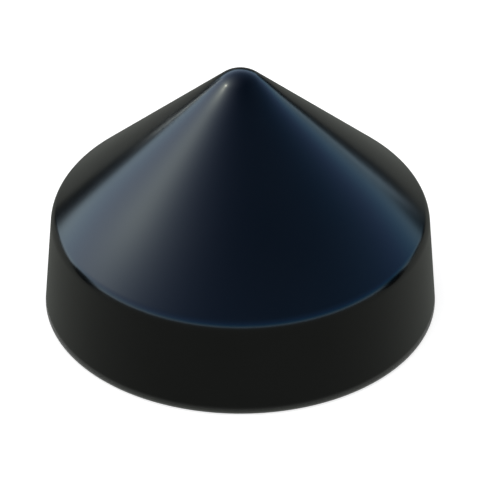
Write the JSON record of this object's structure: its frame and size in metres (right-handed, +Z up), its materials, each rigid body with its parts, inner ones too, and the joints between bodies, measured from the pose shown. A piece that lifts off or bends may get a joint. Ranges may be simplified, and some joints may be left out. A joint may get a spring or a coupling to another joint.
{
  "type": "pile cap",
  "caption": "Cone-topped hollow plastic cap with a slightly tapered round skirt, pushed down over the head of a round mooring pile.",
  "frame": {"origin": "centre of the rim, on the plane that the rim stands on", "axes": "+Z up along the cap's axis of revolution, from the mouth to the tip; +X and +Y lie in the rim's plane"},
  "size_m": [0.2616, 0.2616, 0.1894],
  "materials": {
    "black_plastic": "gloss"
  },
  "bodies": {
    "root": {"cap_shell": "black_plastic"}
  },
  "joints": []
}
